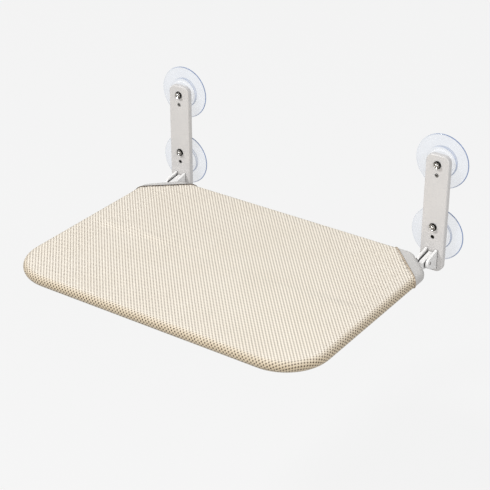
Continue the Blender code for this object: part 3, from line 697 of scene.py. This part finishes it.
def chamfered_nut(side, end, turn):
    """A hexagon nut whose corners are turned down to a cone on both faces."""
    node = "%s_%s_nut" % (side, end)
    low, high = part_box(node)
    centre = (low + high) / 2
    half_t = (high.y - low.y) / 2
    corner = (high.x - low.x) / 2
    flats = corner * math.cos(math.pi / 6)
    bm = bmesh.new()
    levels = (-half_t, -half_t * 0.55, half_t * 0.55, half_t)
    steps = 48
    rows = []
    for level in levels:
        face = abs(level) > half_t * 0.9
        row = []
        for i in range(steps):
            angle = 2 * math.pi * i / steps
            folded = (angle + math.pi / 6) % (math.pi / 3) - math.pi / 6
            hexagon = flats / math.cos(folded)
            reach = min(hexagon, flats * 1.005) if face else hexagon
            row.append(bm.verts.new((reach * math.cos(angle + math.pi / 6), level,
                                     reach * math.sin(angle + math.pi / 6))))
        rows.append(row)
    bores = []
    for level, radius in ((-half_t, NUT_SINK_R), (-half_t * 0.4, NUT_BORE_R),
                          (half_t * 0.4, NUT_BORE_R), (half_t, NUT_SINK_R)):
        bores.append([bm.verts.new((radius * math.cos(2 * math.pi * i / steps + math.pi / 6), level,
                                    radius * math.sin(2 * math.pi * i / steps + math.pi / 6)))
                      for i in range(steps)])
    loops = [bores[0]] + rows + list(reversed(bores[1:]))
    loops.append(loops[0])
    for a, b in zip(loops, loops[1:]):
        for i in range(steps):
            j = (i + 1) % steps
            bm.faces.new((a[i], a[j], b[j], b[i]))
    bmesh.ops.recalc_face_normals(bm, faces=bm.faces)
    mesh = bpy.data.meshes.new(node)
    bm.to_mesh(mesh)
    bm.free()
    nut = new_object(side + "_" + end + "_hex_nut", mesh)
    nut.location = centre
    nut.rotation_euler = (0.0, math.radians(turn), 0.0)
    smooth(nut, math.radians(25))
    set_material(nut, MAT["zinc"])
    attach(nut, side + "_bracket")
    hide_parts(node)
    return nut


# ---------------------------------------------------------------- CAD nodes that stay
NODE_MATERIALS = (
    ("bracket_bar", "bar"), ("hinge_fork", "white"), ("hinge_tongue", "white"),
    ("hinge_pin", "zinc"), ("hinge_spacer", "nylon"), ("washer", "black"),
    # painted light and shade: the upper and lower locating screws are alike; the upper ones take the
    # lighter grey steel as where they catch light, the lower ones the black as where they sit in shade
    ("upper_locating_screw", "grey"), ("lower_locating_screw", "black"),
    ("tongue_screw", "black"), ("corner_fitting", "fitting"),
    ("frame_tube", "tube"), ("rear_tube", "tube"), ("closure_strip", "tape"),
)


def finish_cad_nodes():
    for name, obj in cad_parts.items():
        for word, key in NODE_MATERIALS:
            if word in name:
                set_material(obj, MAT[key])


# ---------------------------------------------------------------- stage
def floor():
    bm = bmesh.new()
    bmesh.ops.create_grid(bm, x_segments=1, y_segments=1, size=30.0)
    mesh = bpy.data.meshes.new("floor")
    bm.to_mesh(mesh)
    bm.free()
    obj = new_object("floor", mesh)
    obj.location = (0.0, 0.0, FLOOR_Z)
    n = Nodes("floor")
    n.shader.inputs["Base Color"].default_value = (0.05, 0.05, 0.05, 1.0)
    n.shader.inputs["Roughness"].default_value = 1.0
    n.shader.inputs["Specular IOR Level"].default_value = 0.0
    n.shader.inputs["Emission Color"].default_value = (1.0, 1.0, 1.0, 1.0)
    # the paper is lit from above; what it throws back up at the object is weaker
    seen = n.add("ShaderNodeLightPath").outputs["Is Camera Ray"]
    n.link(n.math("ADD", n.math("MULTIPLY", seen, FLOOR_GLOW - FLOOR_BOUNCE), FLOOR_BOUNCE),
           n.shader.inputs["Emission Strength"])
    set_material(obj, n.mat)


def area_light(name, place, target, size, power):
    data = bpy.data.lights.new(name, "AREA")
    data.shape = "DISK"
    data.size = size
    data.energy = power
    obj = bpy.data.objects.new(name, data)
    obj.location = place
    obj.rotation_euler = (Vector(target) - Vector(place)).to_track_quat("-Z", "Y").to_euler()
    bpy.context.scene.collection.objects.link(obj)


def lights():
    middle = (0.0, -0.2, -0.05)
    area_light("key", (-2.2, -2.6, 3.4), middle, 0.8, KEY_POWER)
    area_light("fill", (1.9, -1.6, 1.2), middle, 1.6, FILL_POWER)
    world = bpy.data.worlds.new("studio")
    world.use_nodes = True
    nodes, links = world.node_tree.nodes, world.node_tree.links
    sky = nodes["Background"]
    sky.inputs["Color"].default_value = (1.0, 1.0, 1.0, 1.0)
    # reflections see a dark flag up on the right, which draws the edges of bright metal
    path = nodes.new("ShaderNodeLightPath")
    toward = nodes.new("ShaderNodeVectorMath")
    toward.operation = "DOT_PRODUCT"
    toward.inputs[1].default_value = Vector(FLAG_DIRECTION).normalized()
    links.new(nodes.new("ShaderNodeTexCoord").outputs["Generated"], toward.inputs[0])
    flag = nodes.new("ShaderNodeMapRange")
    for key, number in (("From Min", 0.35), ("From Max", 0.75), ("To Min", 1.0), ("To Max", 0.03)):
        flag.inputs[key].default_value = number
    links.new(toward.outputs["Value"], flag.inputs["Value"])
    choose = nodes.new("ShaderNodeMix")
    links.new(path.outputs["Is Glossy Ray"], choose.inputs["Factor"])
    choose.inputs["A"].default_value = WORLD_LIGHT
    links.new(flag.outputs["Result"], choose.inputs["B"])
    beyond = nodes.new("ShaderNodeMix")
    links.new(path.outputs["Is Camera Ray"], beyond.inputs["Factor"])
    links.new(choose.outputs["Result"], beyond.inputs["A"])
    beyond.inputs["B"].default_value = BACKDROP_GLOW
    links.new(beyond.outputs["Result"], sky.inputs["Strength"])
    bpy.context.scene.world = world
    bpy.context.scene.view_settings.view_transform = "Standard"


def camera():
    """A long lens, from the front right and above."""
    data = bpy.data.cameras.new("camera")
    data.sensor_width = 36.0
    data.lens = CAMERA_LENS
    obj = bpy.data.objects.new("camera", data)
    azimuth = math.radians(CAMERA_AZIMUTH)
    elevation = math.radians(CAMERA_ELEVATION)
    forward = Vector((-math.sin(azimuth) * math.cos(elevation),
                      math.cos(azimuth) * math.cos(elevation), -math.sin(elevation)))
    obj.location = CAMERA_PLACE
    obj.rotation_euler = forward.to_track_quat("-Z", "Y").to_euler()
    bpy.context.scene.collection.objects.link(obj)
    bpy.context.scene.camera = obj


# ---------------------------------------------------------------- make everything
camera()
lights()
floor()
finish_cad_nodes()

hems = [cut_edge_hem(side, sign) for side, sign in SIDES.items()]
sleeve = fabric_sleeve()
closure_stitches()

NUT_TURNS = {("left", "upper"): 10, ("left", "lower"): 24, ("right", "upper"): 17,
             ("right", "lower"): 4}
for side in SIDES:
    for end in ENDS:
        suction_cup(side, end)
        threaded_stud(side, end)
        chamfered_nut(side, end, NUT_TURNS[side, end])
